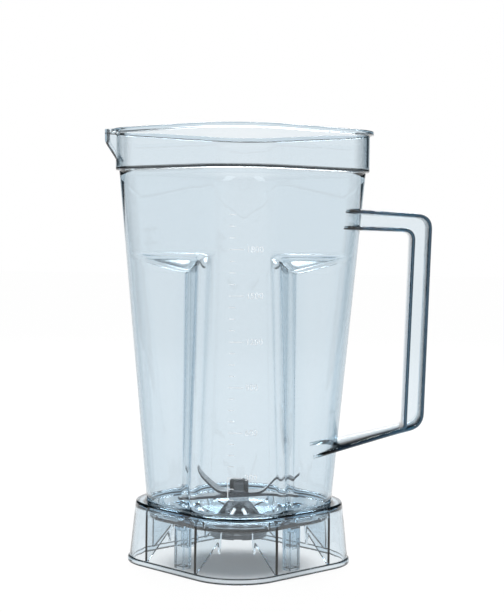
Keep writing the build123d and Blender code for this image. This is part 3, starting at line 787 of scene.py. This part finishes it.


# Steels: two colours, range of roughness, scale and stretch of the streaks, painted shade of upright
# faces
Steel = namedtuple("Steel", "dark light rough scale stretch cut")
STEELS = {
    "stainless_steel": Steel(
        (0.62, 0.63, 0.64), (0.76, 0.77, 0.78), (0.12, 0.2), 60, (1, 1, 18), None),
    "blade_steel": Steel(
        (0.6, 0.62, 0.64), (0.74, 0.76, 0.78), (0.14, 0.24), 90, (12, 1, 1), (0.12, 0.13, 0.14)),
    "dark_steel": Steel(
        (0.12, 0.13, 0.14), (0.2, 0.21, 0.22), (0.3, 0.42), 120, (1, 1, 6), None),
    "bearing_steel": Steel(
        (0.66, 0.67, 0.68), (0.74, 0.75, 0.76), (0.08, 0.14), 200, (1, 1, 10), None),
    "spring_steel": Steel(
        (0.3, 0.31, 0.33), (0.4, 0.41, 0.43), (0.28, 0.4), 150, (1, 1, 8), None),
}
STREAK_DETAIL = 6
STREAK_BUMP = (0.12, 0.0002)
UPRIGHT_SHADE_LEVEL = (0.45, 0.2)


def metal(name, steel):
    """Steel with worked streaks in its colour, gloss and surface."""
    made, tree, shader = material(name)
    streaks = noise(tree, steel.scale, STREAK_DETAIL, steel.stretch)
    shader.inputs["Metallic"].default_value = 1
    colour = tint(tree, streaks, steel.dark, steel.light)
    # Painted shade: upright faces darker than top faces, by their normal
    if steel.cut:
        place = tree.nodes.new("ShaderNodeTexCoord")
        level = math_node(tree, "ABSOLUTE", axes(tree, place.outputs["Normal"])["Z"])
        colour = deepened(tree, colour, fade(tree, level, *UPRIGHT_SHADE_LEVEL), steel.cut)
    paint(tree, shader, colour, spread(tree, streaks, *steel.rough))
    bump(tree, shader, streaks, *STREAK_BUMP)
    return made


clear = clear_plastic()
LOOKS = {name: metal(name, steel) for name, steel in STEELS.items()}
LOOKS["black_rubber"] = black_rubber()
LOOKS["clear_plastic"] = clear
NODE_LOOKS = {"retaining_nut": "dark_steel"}

for subpart in frame["record"]["subparts"]:
    node = nodes[subpart["node"]]
    node.data.materials.clear()
    look = NODE_LOOKS.get(subpart["node"], subpart["material_slot"])
    node.data.materials.append(LOOKS[look])

jar.data.materials.clear()
jar.data.materials.append(clear)
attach(jar, "jar")
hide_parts("jar_body")
graduations_mesh.materials.append(frosted_plastic())
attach(graduations, "jar")

# Ground: nearly white to the rays that show it, apart from a painted soft shadow under the jar
GROUND_REACH = 6
GROUND_NOISE = (3, 3)
GROUND_DARK = (0.9, 0.9, 0.9)
GROUND_LIGHT = (0.92, 0.92, 0.92)
GROUND_ROUGH = 0.8
GROUND_SPECULAR = 0.1
GROUND_LIFT = 0.93
SHADOW_CENTRE = (0, -0.013, 0)
SHADOW_REACH = (0.026, 0.058)
SHADOW_LIFT = 0.11


def showing(tree):
    """1 for rays that show a thing: straight, mirrored or through the jar."""
    rays = tree.nodes.new("ShaderNodeLightPath").outputs
    kinds = ("Is Camera Ray", "Is Transmission Ray", "Is Glossy Ray")
    return chain(tree, "MAXIMUM", *[rays[kind] for kind in kinds])


def mixed(tree, factor, first, second):
    """Two shaders mixed by a factor."""
    blend = tree.nodes.new("ShaderNodeMixShader")
    tree.links.new(factor, blend.inputs["Fac"])
    tree.links.new(first, blend.inputs[1])
    tree.links.new(second, blend.inputs[2])
    return blend.outputs["Shader"]


def pale_floor():
    """Pale ground that glows for the rays that show it, less in a painted shadow under the jar."""
    made, tree, shader = material("pale_floor")
    colour = tint(tree, noise(tree, *GROUND_NOISE), GROUND_DARK, GROUND_LIGHT)
    tree.links.new(colour, shader.inputs["Base Color"])
    shader.inputs["Roughness"].default_value = GROUND_ROUGH
    shader.inputs["Specular IOR Level"].default_value = GROUND_SPECULAR
    place = tree.nodes.new("ShaderNodeTexCoord")
    away = tree.nodes.new("ShaderNodeVectorMath")
    away.operation = "DISTANCE"
    tree.links.new(place.outputs["Object"], away.inputs[0])
    away.inputs[1].default_value = SHADOW_CENTRE
    # Painted shadow: the glow is turned down near the jar
    clear_of_jar = fade(tree, away.outputs["Value"], *SHADOW_REACH)
    lift = math_node(tree, "MULTIPLY", clear_of_jar, GROUND_LIFT - SHADOW_LIFT)
    lift = math_node(tree, "ADD", lift, SHADOW_LIFT)
    lift = math_node(tree, "MULTIPLY", lift, showing(tree))
    glow = tree.nodes.new("ShaderNodeEmission")
    glow.inputs["Color"].default_value = WHITE
    surface = mixed(tree, lift, shader.outputs["BSDF"], glow.outputs["Emission"])
    tree.links.new(surface, tree.nodes["Material Output"].inputs["Surface"])
    return made


floor_mesh = bpy.data.meshes.new("floor")
ground_corners = [(-1, -1), (1, -1), (1, 1), (-1, 1)]
ground_points = [(x * GROUND_REACH, y * GROUND_REACH, 0) for x, y in ground_corners]
floor_mesh.from_pydata(ground_points, [], [(0, 1, 2, 3)])
floor = placed("floor", floor_mesh)
floor_mesh.materials.append(pale_floor())

# Lamps: two in front of the jar, and a wide one behind it for the highlights on ramps and rim
Lamp = namedtuple("Lamp", "place aim width height power")
LAMPS = {
    "left_box": Lamp((-0.85, -0.85, 1.1), (0, 0, 0.05), 0.5, 1.1, 5),
    "right_box": Lamp((0.85, -0.85, 1.1), (0, 0, 0.05), 0.5, 1.1, 5),
    "back_box": Lamp((0, 1.2, 1.07), (0, 0, 0.19), 0.84, 0.3, 18),
}
for name, lamp in LAMPS.items():
    light = bpy.data.lights.new(name, "AREA")
    light.shape = "RECTANGLE"
    light.size = lamp.width
    light.size_y = lamp.height
    light.energy = lamp.power
    softbox = placed(name, light)
    softbox.location = lamp.place
    aim = Vector(lamp.aim) - Vector(lamp.place)
    softbox.rotation_euler = aim.to_track_quat("-Z", "Y").to_euler()

# World: even light on surfaces, white to the camera. The jar shows it dark, apart from a bright wall
# low behind the jar and a band in front of it. Pairs: where the bright part starts, where it is full
WORLD_DARK = (0.03, 0.042, 0.05)
SOFT_STRENGTH = 1.02
BEHIND_Y = (0.88, 0.966)
BEHIND_Z = (0.34, 0.2)
AHEAD_Y = (0.3, 0.1)
AHEAD_LEVEL = (0.3, 0.15)
world = bpy.data.worlds.new("studio")
bpy.context.scene.world = world
world.use_nodes = True
tree = world.node_tree
tree.nodes.clear()
direction = axes(tree, tree.nodes.new("ShaderNodeTexCoord").outputs["Generated"])
level = math_node(tree, "ABSOLUTE", direction["Z"])
behind = math_node(
    tree, "MULTIPLY", fade(tree, direction["Y"], *BEHIND_Y), fade(tree, direction["Z"], *BEHIND_Z))
ahead = math_node(
    tree, "MULTIPLY", fade(tree, direction["Y"], *AHEAD_Y), fade(tree, level, *AHEAD_LEVEL))
camera_ray = tree.nodes.new("ShaderNodeLightPath").outputs["Is Camera Ray"]
seen = tree.nodes.new("ShaderNodeMix")
seen.data_type = "RGBA"
tree.links.new(chain(tree, "MAXIMUM", behind, ahead, camera_ray), seen.inputs["Factor"])
seen.inputs["A"].default_value = (*WORLD_DARK, 1)
seen.inputs["B"].default_value = WHITE
seen_light = tree.nodes.new("ShaderNodeBackground")
tree.links.new(seen.outputs["Result"], seen_light.inputs["Color"])
soft_light = tree.nodes.new("ShaderNodeBackground")
soft_light.inputs["Color"].default_value = WHITE
soft_light.inputs["Strength"].default_value = SOFT_STRENGTH
both = mixed(tree, showing(tree), soft_light.outputs["Background"], seen_light.outputs["Background"])
output = tree.nodes.new("ShaderNodeOutputWorld")
tree.links.new(both, output.inputs["Surface"])

# Camera fitted to the photograph: angles in radians, lens and sensor in millimetres
EYE = Vector((23.95, -950.5, 209.4)) * MM
PITCH = 0.0511
YAW = 0.018
ROLL = 0.0114
SENSOR = 36
LENS = 89.35
CLIP_START = 0.01
camera_data = bpy.data.cameras.new("camera")
camera_data.sensor_width = SENSOR
camera_data.lens = LENS
camera_data.clip_start = CLIP_START
camera = placed("camera", camera_data)
facing = Matrix.Rotation(YAW, 3, "Z") @ Matrix.Rotation(QUARTER - PITCH, 3, "X")
facing = facing @ Matrix.Rotation(ROLL, 3, "Z")
camera.matrix_world = Matrix.Translation(EYE) @ facing.to_4x4()
bpy.context.scene.camera = camera
bpy.context.scene.view_settings.view_transform = "Standard"
